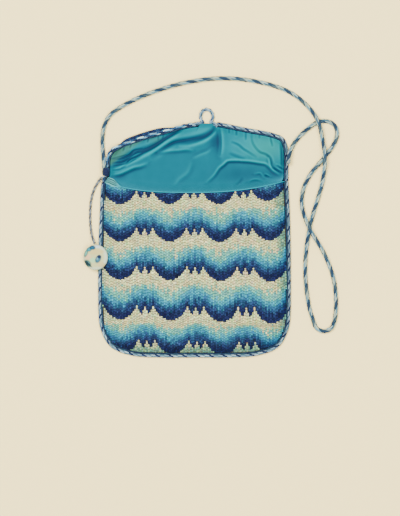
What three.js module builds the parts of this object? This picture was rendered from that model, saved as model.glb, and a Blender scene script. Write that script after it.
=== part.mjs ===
// A flame-stitch purse that lies open on its back with its flap turned up, in millimetres.
// x runs across the purse, y runs up it towards the flap, and z stands out of the surface that it lies on.
import * as THREE from "three";
import { mergeVertices } from "three/addons/utils/BufferGeometryUtils.js";

// Driving dimensions.
const PURSE_WIDTH = 135; // over the edging cords, at the widest
const PURSE_LENGTH = 174.6; // from the bottom edge to the top of the loop, with the flap open
const CANVAS = 1.6; // thickness of the stitched canvas
const SILK = 1; // thickness of the silk lining
const GAP = 0.3; // clearance between pieces that meet
const LINING_GAP = 0.45; // between the silk and the domed front
const FULLNESS = 10; // how far the front stands off the back in the middle of the pocket
const EDGING = 3.4; // diameter of the cord round the edge
const STRAP = 2.8; // diameter of the carrying cord
const BUTTON_CORD = 1.4; // diameter of the thin cord that holds the button
const LOOP = 2.1; // diameter of the cord of the button loop
const BUTTON_WIDTH = 17.7;
const BUTTON_THICKNESS = 6;
const FLOOR_CLEAR = 0.1; // between a cord and the surface

// Plan of the edge, measured to the middle of the edging cord.
const EDGE_HALF = (PURSE_WIDTH - EDGING) / 2;
const SHOULDER_Y = -30; // the base is rounded below this line
const BASE_DEPTH = SHOULDER_Y + PURSE_LENGTH / 2 - EDGING / 2;
const BASE_POWER = 5.2; // of the superellipse that rounds the base
const SIDE_POWER = 2; // how late the sides draw in towards the mouth
const MOUTH_LEFT = { x: -63.3, y: 35.4, power: 3.2 }; // left end of the mouth, and how its line sags
const MOUTH_RIGHT = { x: 64.1, y: 36, power: 2.3 };
const MOUTH_MIDDLE = 27.5;
const FLAP_RIGHT = [[64.2, 48], [63.8, 58.5]];
const FLAP_TOP_RIGHT = [[61.4, 65], [55, 68], [36.4, 71.7]];
const FLAP_PEAK = [[15.4, 75.8], [8.5, 76.4]]; // the edging stops here on each side of the loop
const FLAP_TOP_LEFT = [[1.6, 75.7], [-18, 72.3], [-36, 67.6]];
const FLAP_LEFT = [[-49.4, 62.5], [-54.4, 59.8], [-57.9, 56.8], [-60.2, 52.4], [-60.8, 46], [-61.4, 40.2]];

// How the panels end, measured inwards from the middle of the edging cord.
const SEAM = EDGING / 2 + GAP; // to the edge of the canvas
const POCKET_SEAM = SEAM + 4.6; // to the edge of the silk inside the pocket
const HEM = 0.9; // how far the silk stands past the mouth of the pocket
const LIP = { width: 2.4, x: -52, spread: 5 }; // where the hem widens at the left of the mouth
const PILLOW = 5; // how quickly the front rises from its seam

// Along the left of the flap the canvas rolls out past the cord, which then lies on top of it.
const ROLL_FROM = [-59, -46];
const ROLL_TO = [-26, -3];
const ROLL_OUT = SEAM + 2.2;
const ROLL_CORD_IN = 2;
const CORD_RISE = [-61.4, -56.5]; // where the cord climbs on to the canvas
const CORD_FALL = [-8, 0.5];

// Loop at the peak of the flap, measured to the middle of its cord.
const LOOP_X = 8.5;
const LOOP_ACROSS = 4.3; // half width
const LOOP_UP = 5; // half height
const LOOP_FOOT = 52; // degrees below the level line where each foot ends
const LOOP_Y = PURSE_LENGTH / 2 - LOOP / 2 - LOOP_UP;
const TAB = { reach: 1.9, full: 4.2, end: 6.5 }; // the canvas reaches out to the loop between its feet

// Folds of the loose silk: each runs from one point past another to a third, and a valley is negative.
const LOFT = 1.1; // how far the silk stands off the flap between its folds
const FOLDS = [
  { from: [-59, 41], past: [-46, 43], to: [-30, 49], height: 1.3, width: 2.4 },
  { from: [-58, 45], past: [-36, 53], to: [-6, 71], height: 2, width: 2.8 },
  { from: [-26, 55], past: [-10, 60], to: [2, 54], height: 1, width: 2.6 },
  { from: [-12, 59], past: [10, 61], to: [16, 72], height: 1.8, width: 2.6 },
  { from: [20, 72], past: [22, 62], to: [17, 51], height: 1.6, width: 2.8 },
  { from: [8, 36], past: [20, 62], to: [60, 41], height: 2, width: 2.8 },
  { from: [40, 68], past: [40, 54], to: [60, 42], height: -1, width: 2.2 },
  { from: [26, 63], past: [34, 58], to: [44, 54], height: -1, width: 2.2 },
];

// Route of the carrying cord, from the left corner round to the right corner: x, y and height of its middle.
const LOW = STRAP / 2 + FLOOR_CLEAR;
const OVER = LOW + STRAP + 0.4; // where it crosses over itself
const STRAP_ROUTE = [
  [-62.9, 40.4, 4.9], [-63.1, 46.6, 4.2], [-63.8, 53.6, 2.6], [-64.3, 61, LOW], [-64.3, 68, LOW],
  [-62.8, 75.6, LOW], [-59, 82.2, LOW], [-49, 89.4, LOW], [-29, 98.4, LOW], [-5, 105.2, LOW], [20, 108, LOW],
  [44, 105.6, LOW], [66, 98.6, LOW], [79.5, 88, 2.6], [86.4, 77.4, OVER], [89.4, 65, 3.6], [91.1, 53, OVER],
  [89.6, 36.5, 2], [80.4, 3, LOW], [77.4, -25, LOW], [80, -51, LOW], [83.1, -61.5, LOW], [85.3, -66.7, LOW],
  [90.5, -68.9, LOW], [95.7, -66.7, LOW], [97.9, -61.5, LOW], [99, -48, LOW], [97.2, -32, LOW],
  [90.6, -14.5, 2.6], [80.4, 3, OVER], [75.3, 17.5, 2.2], [75.8, 29, LOW], [80.6, 40, LOW], [91.1, 53, LOW],
  [97, 61, LOW], [99.7, 68.2, LOW], [98.6, 74.2, LOW], [93.9, 77.7, LOW], [86.4, 77.4, LOW], [76, 69.8, LOW],
  [70.6, 63.8, LOW], [68.1, 59.6, 2], [66.5, 55.4, 4], [65.7, 51.5, 4.8], [65.3, 48, 5],
];
const STRAP_STEPS = 80;

// Route of the thin cord, from the left corner to the rim of the button.
const THIN = BUTTON_CORD / 2 + FLOOR_CLEAR;
const BUTTON_ROUTE = [
  [-65.3, 38.2, 2], [-67.4, 35.4, 1.3], [-69.6, 31.6, THIN], [-71.3, 27.2, THIN], [-72.3, 22.8, THIN],
  [-72.9, 17.2, THIN], [-73, 11.6, THIN], [-72.9, 6.6, THIN], [-72.5, 2.4, 1.1], [-71.9, -1.2, 2],
  [-71, -4.4, 3.5], [-69.7, -7.8, 5.1],
];
const BUTTON_CORD_STEPS = 16;
const BUTTON_AT = [-69, -17.2, 5.4];
const BUTTON_TILT = -26; // degrees: the left rim is on the surface and the right side leans on the edge

const { degToRad, lerp, smoothstep } = THREE.MathUtils;

// The rounded base is a superellipse, so the share of the half width gives the share of the depth, and back.
const otherShare = (share) => (1 - share ** BASE_POWER) ** (1 / BASE_POWER);
const TURN = 2 ** (-1 / BASE_POWER); // where the base turns from side to bottom

// How far the edge lies from the middle line at a height, on the side of x.
function edgeHalf(x, y) {
  if (y < SHOULDER_Y) {
    return EDGE_HALF * otherShare(Math.min(1, (SHOULDER_Y - y) / BASE_DEPTH));
  }
  const end = x < 0 ? MOUTH_LEFT : MOUTH_RIGHT;
  const share = (y - SHOULDER_Y) / (end.y - SHOULDER_Y);
  return lerp(EDGE_HALF, Math.abs(end.x), share ** SIDE_POWER);
}

const basePoint = (share) => [EDGE_HALF * share, SHOULDER_Y - BASE_DEPTH * otherShare(Math.abs(share))];
const sidePoint = (sign, y) => [sign * edgeHalf(sign, y), y];
const turnPoint = (sign, share) => sidePoint(sign, SHOULDER_Y - BASE_DEPTH * TURN * share);

// The whole outline, counterclockwise from the left turn of the base.
const MID_SIDES = [-6, 15];
const STRETCHES = [
  [-1, -0.75, -0.4, 0, 0.4, 0.75].map((share) => basePoint(share * TURN)),
  [...[1, 0.75, 0.5, 0.25, 0].map((share) => turnPoint(1, share)), ...MID_SIDES.map((y) => sidePoint(1, y))],
  [[MOUTH_RIGHT.x, MOUTH_RIGHT.y], ...FLAP_RIGHT],
  FLAP_TOP_RIGHT,
  FLAP_PEAK,
  FLAP_TOP_LEFT,
  FLAP_LEFT,
  [
    [MOUTH_LEFT.x, MOUTH_LEFT.y],
    ...MID_SIDES.toReversed().map((y) => sidePoint(-1, y)),
    ...[0, 0.25, 0.5, 0.75].map((share) => turnPoint(-1, share)),
  ],
];
const OUTLINE_POINTS = STRETCHES.flat();
const outline = new THREE.CatmullRomCurve3(OUTLINE_POINTS.map(([x, y]) => new THREE.Vector3(x, y, 0)), true);
const SAMPLES_PER_POINT = 24;
outline.arcLengthDivisions = SAMPLES_PER_POINT * OUTLINE_POINTS.length;

// Share of the outline's length at which each stretch starts.
const STARTS = STRETCHES.map((_, i) => {
  const pointsBefore = STRETCHES.slice(0, i).flat().length;
  return outline.getLengths()[SAMPLES_PER_POINT * pointsBefore] / outline.getLength();
});
const [, BASE_END, MOUTH_RIGHT_AT, RIGHT_CORNER, PEAK_RIGHT, PEAK_LEFT, LEFT_CORNER, MOUTH_LEFT_AT] = STARTS;

// A point of the outline, moved in by a distance that depends on where it is.
function inset(share, distanceAt) {
  const at = outline.getPointAt(share % 1);
  const along = outline.getTangentAt(share % 1);
  const distance = distanceAt(at);
  return new THREE.Vector2(at.x - along.y * distance, at.y + along.x * distance);
}

const insetRun = (from, to, distanceAt) => (share) => inset(lerp(from, to, share), distanceAt);

// Measures along the flap: the roll on the left, and the tab at the loop.
const onFlap = (p) => p.y > MOUTH_RIGHT.y;
const rollAt = (p) => (onFlap(p) ? smoothstep(p.x, ...ROLL_FROM) * (1 - smoothstep(p.x, ...ROLL_TO)) : 0);
const riseAt = (p) => (onFlap(p) ? smoothstep(p.x, ...CORD_RISE) * (1 - smoothstep(p.x, ...CORD_FALL)) : 0);
const fromLoop = (p) => smoothstep(Math.abs(p.x - LOOP_X), TAB.full, TAB.end);
const tabAt = (p) => (onFlap(p) ? TAB.reach * (1 - fromLoop(p)) : 0);

// The mouth of the pocket hangs lowest in the middle.
function mouthY(x) {
  const end = x < 0 ? MOUTH_LEFT : MOUTH_RIGHT;
  return MOUTH_MIDDLE + (end.y - MOUTH_MIDDLE) * Math.min(1, x / end.x) ** end.power;
}

// The edges of the pocket, moved in by a distance, with the line of the mouth along the top.
function pocketEdges(distance, pastMouth) {
  const left = insetRun(1, MOUTH_LEFT_AT, () => distance);
  const right = insetRun(BASE_END, MOUTH_RIGHT_AT, () => distance);
  const endAtMouth = (side) => (share) => {
    const end = side(1);
    const rise = mouthY(end.x) + pastMouth(end.x) - end.y;
    return side(share).add(new THREE.Vector2(0, rise * smoothstep(share, 0.5, 1)));
  };
  const top = (share) => {
    const x = lerp(left(1).x, right(1).x, share);
    return new THREE.Vector2(x, mouthY(x) + pastMouth(x));
  };
  const bottom = insetRun(0, BASE_END, () => distance);
  return { left: endAtMouth(left), right: endAtMouth(right), bottom, top };
}

// A point of the patch between four edges, each a function of its share from 0 to 1.
function patch(edges, across, up) {
  const sides = edges.left(up).multiplyScalar(1 - across).addScaledVector(edges.right(up), across);
  const ends = edges.bottom(across).multiplyScalar(1 - up).addScaledVector(edges.top(across), up);
  const low = edges.bottom(0).multiplyScalar(1 - across).addScaledVector(edges.bottom(1), across);
  const high = edges.top(0).multiplyScalar(1 - across).addScaledVector(edges.top(1), across);
  return sides.add(ends).sub(low.multiplyScalar(1 - up).addScaledVector(high, up));
}

// A closed sheet of columns by rows. place gives the plan point of a grid corner and its two heights.
function sheet(columns, rows, place) {
  const box = new THREE.BoxGeometry(1, 1, 1, columns, rows, 1);
  const corners = box.attributes.position;
  for (let i = 0; i < corners.count; i += 1) {
    const { point, low, high } = place(corners.getX(i) + 0.5, corners.getY(i) + 0.5);
    corners.setXYZ(i, point.x, point.y, corners.getZ(i) > 0 ? high : low);
  }
  box.deleteAttribute("normal");
  box.deleteAttribute("uv");
  const joined = mergeVertices(box);
  joined.computeVertexNormals();
  return joined;
}

// A round cord of even thickness along a route of points.
function cord(route, diameter, steps) {
  const SIDES = 8;
  const turns = Array.from({ length: SIDES }, (_, i) => (2 * Math.PI * i) / SIDES);
  const section = new THREE.Shape(
    turns.map((turn) => new THREE.Vector2(Math.cos(turn), Math.sin(turn)).multiplyScalar(diameter / 2)),
  );
  const extrudePath = new THREE.CatmullRomCurve3(route.map((p) => new THREE.Vector3(...p)));
  return new THREE.ExtrudeGeometry(section, { steps, extrudePath });
}

// How high the underside of the front stands, rising from its seam as a pillow does.
function frontUnder(x, y) {
  const across = Math.abs(x) / (edgeHalf(x, Math.max(y, SHOULDER_Y)) - SEAM);
  const down = Math.max(0, SHOULDER_Y - y) / (BASE_DEPTH - SEAM);
  const outward = (across ** BASE_POWER + down ** BASE_POWER) ** (1 / BASE_POWER);
  return CANVAS + GAP + FULLNESS * (1 - Math.min(1, outward) ** PILLOW);
}

const FRONT_GRID = { columns: 26, rows: 15 };

function frontPanel() {
  const edges = pocketEdges(SEAM, () => 0);
  return sheet(FRONT_GRID.columns, FRONT_GRID.rows, (across, up) => {
    const point = patch(edges, across, up);
    const low = frontUnder(point.x, point.y);
    return { point, low, high: low + CANVAS };
  });
}

// Silk inside the front, turned up at the mouth over the edge of the canvas.
function frontLining() {
  const COLUMNS = 22;
  const ROWS = 13;
  const HEM_ROWS = 2;
  const HALF_ROW = 0.5 / ROWS;
  const lastUnder = 1 - HEM_ROWS / ROWS;
  const hemAt = (x) => LINING_GAP + HEM + LIP.width * Math.exp(-(((x - LIP.x) / LIP.spread) ** 2));
  const under = pocketEdges(POCKET_SEAM, () => LINING_GAP);
  const hem = pocketEdges(POCKET_SEAM, hemAt);
  return sheet(COLUMNS, ROWS, (across, up) => {
    const turned = up > lastUnder + HALF_ROW;
    const atEdge = up > 1 - HALF_ROW;
    const point = patch(atEdge ? hem : under, across, Math.min(1, up / lastUnder));
    const canvas = frontUnder(point.x, Math.min(point.y, mouthY(point.x)));
    const top = canvas - LINING_GAP;
    return { point, low: top - SILK, high: turned ? canvas + CANVAS : top };
  });
}

// Canvas of the back and the flap in one flat sheet.
function backPanel() {
  const POINTS = 20; // on each stretch of the outline
  const seamAt = (p) => SEAM - ROLL_OUT * rollAt(p) - tabAt(p);
  const rim = STARTS.flatMap((start, i) => {
    const end = STARTS[i + 1] ?? 1;
    return Array.from({ length: POINTS }, (_, step) => inset(lerp(start, end, step / POINTS), seamAt));
  });
  return new THREE.ExtrudeGeometry(new THREE.Shape(rim), { depth: CANVAS, bevelEnabled: false });
}

const FOLD_STATIONS = 40;
const folds = FOLDS.map((fold) => {
  const ends = [fold.from, fold.past, fold.to].map((p) => new THREE.Vector2(...p));
  return { ...fold, stations: new THREE.QuadraticBezierCurve(...ends).getPoints(FOLD_STATIONS) };
});

// How far one fold lifts the silk at a point, fading out at both of its ends.
function foldLift(fold, point) {
  const lifts = fold.stations.map((station, i) => {
    const fade = Math.sqrt(Math.sin((Math.PI * (i + 1)) / (fold.stations.length + 1)));
    return fade * Math.exp(-((point.distanceTo(station) / fold.width) ** 2));
  });
  return fold.height * Math.max(...lifts);
}

// How far the silk stands off the canvas: folded on the flap, flat along its seams and in the pocket.
function liningLift(point, across, up) {
  const SEAM_SHARE = 0.07; // of the width and the height, where the silk is flat
  const LOOSE_FROM = [1, 11]; // above the mouth
  const fromSides = smoothstep(Math.min(across, 1 - across), 0, SEAM_SHARE);
  const fromTop = smoothstep(1 - up, 0, SEAM_SHARE);
  const fromMouth = smoothstep(point.y - mouthY(point.x), ...LOOSE_FROM);
  const folded = folds.reduce((sum, fold) => sum + foldLift(fold, point), LOFT);
  return Math.max(0, folded) * fromSides * fromTop * fromMouth;
}

// Silk inside the back and the flap, narrower in the pocket, where the front comes down to the back.
function backLining() {
  const COLUMNS = 33;
  const ROWS = 32;
  const ROWS_IN_POCKET = 0.24; // share of the rows, and of the height
  const HEIGHT_IN_POCKET = 0.68;
  const NARROWING = [MOUTH_RIGHT.y - 6, MOUTH_RIGHT.y + 3];
  const TURNING = 0.2; // beyond the seam of the canvas
  const seamAt = (p) => {
    const inPocket = 1 - smoothstep(p.y, ...NARROWING);
    return lerp(SEAM + TURNING, POCKET_SEAM, inPocket) + (ROLL_CORD_IN + GAP) * rollAt(p) - tabAt(p);
  };
  const edges = {
    left: insetRun(1, LEFT_CORNER, seamAt),
    right: insetRun(BASE_END, RIGHT_CORNER, seamAt),
    bottom: insetRun(0, BASE_END, seamAt),
    top: insetRun(LEFT_CORNER, RIGHT_CORNER, seamAt),
  };
  return sheet(COLUMNS, ROWS, (across, row) => {
    const shareOfPocket = row / ROWS_IN_POCKET;
    const shareOfFlap = (row - ROWS_IN_POCKET) / (1 - ROWS_IN_POCKET);
    const up = shareOfFlap < 0 ? HEIGHT_IN_POCKET * shareOfPocket : lerp(HEIGHT_IN_POCKET, 1, shareOfFlap);
    const point = patch(edges, across, up);
    const low = CANVAS + GAP + liningLift(point, across, up);
    return { point, low, high: low + SILK };
  });
}

const BODY_EDGING_STEPS = 58;
const FLAP_EDGING_STEPS = 20;

// Cord sewn along a stretch of the edge, from one share of the outline to another.
function edging(from, to, steps) {
  const trim = GAP / outline.getLength();
  const cordIn = (p) => ROLL_CORD_IN * rollAt(p);
  const route = Array.from({ length: steps + 1 }, (_, i) => {
    const share = lerp(from + trim, to - trim, i / steps);
    const rise = (CANVAS + GAP) * riseAt(outline.getPointAt(share % 1));
    return [...inset(share, cordIn), EDGING / 2 + FLOOR_CLEAR + rise];
  });
  return cord(route, EDGING, steps);
}

function buttonLoop() {
  const STATIONS = 14;
  const route = Array.from({ length: STATIONS + 1 }, (_, i) => {
    const turn = degToRad(lerp(-LOOP_FOOT, 180 + LOOP_FOOT, i / STATIONS));
    return [LOOP_X + LOOP_ACROSS * Math.cos(turn), LOOP_Y + LOOP_UP * Math.sin(turn), LOOP / 2 + FLOOR_CLEAR];
  });
  return cord(route, LOOP, STATIONS);
}

// A domed button: a flattened ball with a fuller rim.
function buttonShape() {
  const PROFILE_STEPS = 10;
  const TURNS = 20;
  const RIM_POWER = 2.5;
  const full = (v) => Math.sign(v) * Math.abs(v) ** (2 / RIM_POWER);
  const profile = Array.from({ length: PROFILE_STEPS + 1 }, (_, i) => {
    const turn = Math.PI * (i / PROFILE_STEPS - 0.5);
    const onAxis = i === 0 || i === PROFILE_STEPS;
    const radius = onAxis ? 0 : (BUTTON_WIDTH / 2) * full(Math.cos(turn));
    return new THREE.Vector2(radius, (BUTTON_THICKNESS / 2) * full(Math.sin(turn)));
  });
  return new THREE.LatheGeometry(profile, TURNS).rotateX(Math.PI / 2);
}

const finishes = {
  needlework: { color: 0x7f9fa8, roughness: 0.85, metalness: 0 },
  silk: { color: 0x328c9e, roughness: 0.45, metalness: 0 },
  twistedCord: { color: 0x8fa9b5, roughness: 0.7, metalness: 0 },
  buttonCloth: { color: 0xb4c0b1, roughness: 0.8, metalness: 0 },
};

const purse = new THREE.Group();

function add(name, geometry, finish) {
  const mesh = new THREE.Mesh(geometry, new THREE.MeshStandardMaterial(finishes[finish]));
  mesh.name = name;
  purse.add(mesh);
  return mesh;
}

add("back_panel", backPanel(), "needlework");
add("back_lining", backLining(), "silk");
add("front_lining", frontLining(), "silk");
add("front_panel", frontPanel(), "needlework");
add("body_edging", edging(MOUTH_LEFT_AT, 1 + MOUTH_RIGHT_AT, BODY_EDGING_STEPS), "twistedCord");
add("flap_edging_right", edging(MOUTH_RIGHT_AT, PEAK_RIGHT, FLAP_EDGING_STEPS), "twistedCord");
add("flap_edging_left", edging(PEAK_LEFT, MOUTH_LEFT_AT, FLAP_EDGING_STEPS), "twistedCord");
add("button_loop", buttonLoop(), "twistedCord");
add("strap", cord(STRAP_ROUTE, STRAP, STRAP_STEPS), "twistedCord");
add("button_cord", cord(BUTTON_ROUTE, BUTTON_CORD, BUTTON_CORD_STEPS), "twistedCord");
const button = add("button", buttonShape(), "buttonCloth");
button.position.set(...BUTTON_AT);
button.rotation.y = degToRad(BUTTON_TILT);

export default purse;
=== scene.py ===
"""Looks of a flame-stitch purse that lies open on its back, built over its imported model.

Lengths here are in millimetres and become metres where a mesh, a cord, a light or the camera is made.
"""

import math

import bpy
import numpy as np
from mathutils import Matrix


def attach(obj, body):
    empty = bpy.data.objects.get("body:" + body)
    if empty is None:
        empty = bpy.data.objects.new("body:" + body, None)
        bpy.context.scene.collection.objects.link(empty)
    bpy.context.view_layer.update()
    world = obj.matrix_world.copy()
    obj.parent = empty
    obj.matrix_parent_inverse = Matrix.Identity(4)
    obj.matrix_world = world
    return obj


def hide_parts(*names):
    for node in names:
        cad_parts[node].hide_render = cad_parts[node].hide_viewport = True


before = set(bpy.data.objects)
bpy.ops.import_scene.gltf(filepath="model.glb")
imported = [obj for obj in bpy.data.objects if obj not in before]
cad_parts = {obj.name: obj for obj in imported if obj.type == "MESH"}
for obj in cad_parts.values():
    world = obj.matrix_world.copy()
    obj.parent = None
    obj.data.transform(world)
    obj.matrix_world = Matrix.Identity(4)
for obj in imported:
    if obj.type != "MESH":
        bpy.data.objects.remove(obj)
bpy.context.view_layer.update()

MM = 0.001
UP = np.array([0.0, 0.0, 1.0])
chance = np.random.default_rng(11)
normal = chance.standard_normal

# Picture: its size, the millimetres of the purse to one pixel, and the point of the purse in its middle.
PICTURE = (400, 516)
PIXEL = 0.70
PICTURE_MIDDLE = (3.85, -17.68)
CAMERA_HEIGHT = 2000
SENSOR = 36

# Driving dimensions of the purse.
PURSE_WIDTH = 135
PURSE_LENGTH = 174.6
CANVAS = 1.6
SILK = 1
GAP = 0.3
LINING_GAP = 0.45
FULLNESS = 10
EDGING = 3.4
STRAP = 2.8
BUTTON_CORD = 1.4
LOOP = 2.1
BUTTON_WIDTH = 17.7
BUTTON_THICKNESS = 6
FLOOR_CLEAR = 0.1

# Plan of the edge, measured to the middle of the edging cord.
EDGE_HALF = (PURSE_WIDTH - EDGING) / 2
SHOULDER_Y = -30
BASE_DEPTH = SHOULDER_Y + PURSE_LENGTH / 2 - EDGING / 2
BASE_POWER = 5.2
SIDE_POWER = 2
MOUTH_LEFT = (-63.3, 35.4, 3.2)
MOUTH_RIGHT = (64.1, 36, 2.3)
MOUTH_MIDDLE = 27.5
FLAP_RIGHT = [(64.2, 48), (63.8, 58.5)]
FLAP_TOP_RIGHT = [(61.4, 65), (55, 68), (36.4, 71.7)]
FLAP_PEAK = [(15.4, 75.8), (8.5, 76.4)]
FLAP_TOP_LEFT = [(1.6, 75.7), (-18, 72.3), (-36, 67.6)]
FLAP_LEFT = [(-49.4, 62.5), (-54.4, 59.8), (-57.9, 56.8), (-60.2, 52.4), (-60.8, 46), (-61.4, 40.2)]

# How the panels end, measured inwards from the middle of the edging cord.
SEAM = EDGING / 2 + GAP
POCKET_SEAM = SEAM + 4.6
PILLOW = 5
ROLL_FROM, ROLL_TO = (-59, -46), (-26, -3)
ROLL_OUT = SEAM + 1.9
ROLL_CORD_IN = 1.5
ALLOWANCE = 1.5  # of the back, under the thread along its seam
CORD_RISE, CORD_FALL = (-61.4, -56.5), (-8, 0.5)
LOOP_X, LOOP_ACROSS, LOOP_UP, LOOP_FOOT = 8.5, 4.3, 5, 52
LOOP_Y = PURSE_LENGTH / 2 - LOOP / 2 - LOOP_UP
TAB_REACH, TAB_FULL, TAB_END = 1.9, 4.2, 6.5

# Carrying cord from the left corner round to the right one, and the thin cord from the corner to the button.
LOW = STRAP / 2 + FLOOR_CLEAR
OVER = LOW + STRAP + 0.4
STRAP_ROUTE = [
    (-62.9, 40.4, 4.9), (-63.1, 46.6, 4.2), (-63.8, 53.6, 2.6), (-64.3, 61, LOW), (-64.3, 68, LOW),
    (-62.8, 75.6, LOW), (-59, 82.2, LOW), (-49, 89.4, LOW), (-29, 98.4, LOW), (-5, 105.2, LOW),
    (20, 108, LOW), (44, 105.6, LOW), (66, 98.6, LOW), (79.5, 88, 2.6), (86.4, 77.4, OVER),
    (89.4, 65, 3.6), (91.1, 53, OVER), (89.6, 36.5, 2), (80.4, 3, LOW), (77.4, -25, LOW), (80, -51, LOW),
    (83.1, -61.5, LOW), (85.3, -66.7, LOW), (90.5, -68.9, LOW), (95.7, -66.7, LOW), (97.9, -61.5, LOW),
    (99, -48, LOW), (97.2, -32, LOW), (90.6, -14.5, 2.6), (80.4, 3, OVER), (75.3, 17.5, 2.2),
    (75.8, 29, LOW), (80.6, 40, LOW), (91.1, 53, LOW), (97, 61, LOW), (99.7, 68.2, LOW),
    (98.6, 74.2, LOW), (93.9, 77.7, LOW), (86.4, 77.4, LOW), (76, 69.8, LOW), (70.6, 63.8, LOW),
    (68.1, 59.6, 2), (66.5, 55.4, 4), (65.7, 51.5, 4.8), (65.3, 48, 5),
]
THIN = BUTTON_CORD / 2 + FLOOR_CLEAR
BUTTON_ROUTE = [
    (-65.3, 38.2, 2), (-67.4, 35.4, 1.3), (-69.6, 31.6, THIN), (-71.3, 27.2, THIN), (-72.3, 22.8, THIN),
    (-72.9, 17.2, THIN), (-73, 11.6, THIN), (-72.9, 6.6, THIN), (-72.5, 2.4, 1.1), (-71.9, -1.2, 2),
    (-71, -4.4, 3.5), (-69.7, -7.8, 5.1),
]
BUTTON_AT = (-69, -17.2, 5.4)
BUTTON_TILT = -17

# Twist of each cord: the length of one full turn of its two plies, and the dyes of their yarns.
STRAP_TURN, EDGING_TURN, LOOP_TURN, BUTTON_CORD_TURN = 11.5, 9.4, 5.2, 5.4
STRAP_LOOK, BUTTON_CORD_LOOK = 3, 1.9
EDGING_CORD, EDGING_OUT = 2.3, 0.6  # the cord itself, and how far it stands out from the middle of the edge
EDGING_LIFT = 0.2  # and up from the floor
SEAM_THREAD, SEAM_IN, SEAM_HEIGHT, SEAM_TURN = 1.3, 1.1, 1.9, 3
SEAM_BLUE, SEAM_TEAL = (0.01, 0.026, 0.06), (0.014, 0.045, 0.07)
LOOP_CORD = 2.5
NAVY, DEEP_BLUE = (0.007, 0.012, 0.04), (0.011, 0.03, 0.082)
BLUE, PALE_BLUE = (0.018, 0.06, 0.13), (0.09, 0.28, 0.42)
SKY, WHITE, GREY = (0.023, 0.16, 0.27), (0.4, 0.56, 0.54), (0.05, 0.12, 0.14)
PALE_LILAC, LILAC, LILAC_GREY = (0.28, 0.39, 0.43), (0.145, 0.235, 0.29), (0.07, 0.135, 0.19)
EDGING_PLIES = [[PALE_LILAC, LILAC_GREY, LILAC, LILAC], [LILAC, LILAC_GREY, PALE_LILAC, LILAC_GREY]]
EDGING_GROOVES = [(NAVY, 0.36), (GREY, 0.18)]  # dye, and radius as a share of the diameter
EDGING_SHADE, EDGING_SHADE_X = 0.3, (50, 62)  # how much darker the cord is on the right, and where it starts
ROLLED_PLIES = [[LILAC, PALE_BLUE, WHITE, SKY], [NAVY, DEEP_BLUE, BLUE, DEEP_BLUE]]
LOOP_PLIES = [EDGING_PLIES[0], [SEAM_TEAL, LILAC, DEEP_BLUE, LILAC_GREY]]
STRAP_PLIES = [
    [(0.014, 0.032, 0.062), (0.024, 0.05, 0.075), (0.045, 0.08, 0.09), (0.017, 0.038, 0.062)],
    [(0.3, 0.37, 0.26), (0.08, 0.19, 0.24), (0.25, 0.34, 0.31), (0.03, 0.09, 0.13)],
]
STRAP_GROOVES = [((0.012, 0.035, 0.065), 0.17), ((0.2, 0.27, 0.22), 0.15)]
THIN_PLIES = [
    [(0.037, 0.042, 0.056), (0.055, 0.06, 0.072), (0.042, 0.05, 0.065), (0.083, 0.09, 0.102)],
    [(0.18, 0.215, 0.22), (0.09, 0.115, 0.143), (0.2, 0.23, 0.22), (0.077, 0.1, 0.12)],
]

# Flame-stitch chart: steps up from the valley, over the first half of one repeat across.
STEPS = [0, 0, 0.1, 1, 1.1, 2, 2.1, 3.2, 4.3, 5.5, 7.1, 5.2, 3.6, 3.2, 4.9, 6.7]
STEPS_PER_REPEAT, ROWS_PER_REPEAT = 20, 14
CHART = np.array(STEPS + STEPS[-2::-1])
COLUMN = 1.138
VALLEY_X = 18.5
FIRST_VALLEY_Y = 19.9
REPEAT, REPEAT_GROWTH = 25.8, 0.425  # a repeat is a little longer towards the bottom
REPEAT_SLOPE = 0.006  # and on the right
FAN, FAN_X, FAN_Y = 0.0003, -50, -55  # the columns draw together about this place towards the mouth
RIGHT_RISE, RISE_X, RISE_Y = 2.6, (36, 58), (-30, 15)  # the rows rise at the right of the mouth
BASE_RISE, BASE_Y = 4.6, (-52, -84)  # and at the bottom
SAG, SAG_MORE, SAG_X = 0.8, 1.4, (-10, 50)  # the lowest whole row sags, and more towards the right
SAG_Y, SAG_HALF = -61, 5.5  # its height, and half the height that sags
BASE_DRAW, BASE_DRAW_X = 0.017, 40  # at the bottom the columns draw in towards this place
WOOLS = [
    (0.007, 0.0105, 0.042), (0.0105, 0.022, 0.066), (0.013, 0.041, 0.097), (0.0175, 0.08, 0.144),
    (0.02, 0.165, 0.235), (0.031, 0.225, 0.265), (0.105, 0.33, 0.24), (0.4, 0.46, 0.23),
    (0.45, 0.44, 0.205), (0.47, 0.43, 0.2), (0.28, 0.36, 0.17), (0.13, 0.25, 0.15),
]
BLUES, CREAMS, GREENS = 7, 3, 2  # in the order of the wools
DARK_WOOLS = 3  # the first of the blues
BLUE_FROM, BLUE_TO = (0, 6), (14.6, 17.8)  # steps up from a valley and from a peak, where the blues run
FLAME_SHARE = 0.7  # how closely the darkest blue follows the chart
FADE_POWER = 0.88  # at the peaks; below 1, the paler blues take up more of the band
VALLEY_FADE, VALLEY_SHARE = (0.1, 0.82), 0.7  # in the valleys: where most of the fade is, and how much of it
STITCH_RISE = 0.5
PAINTED_SEAM_SHADE, SEAM_SHADE_FROM = (0.46, 0.69, 0.84), 0.87  # painted shade: the wool is darker from this share of the way to the seam, where the pillow rounds down
LEFT_SEAM_SHADE, LEFT_SEAM_SHADE_X = 0.45, (-58, -30)  # and less so on the left, towards the light
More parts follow.
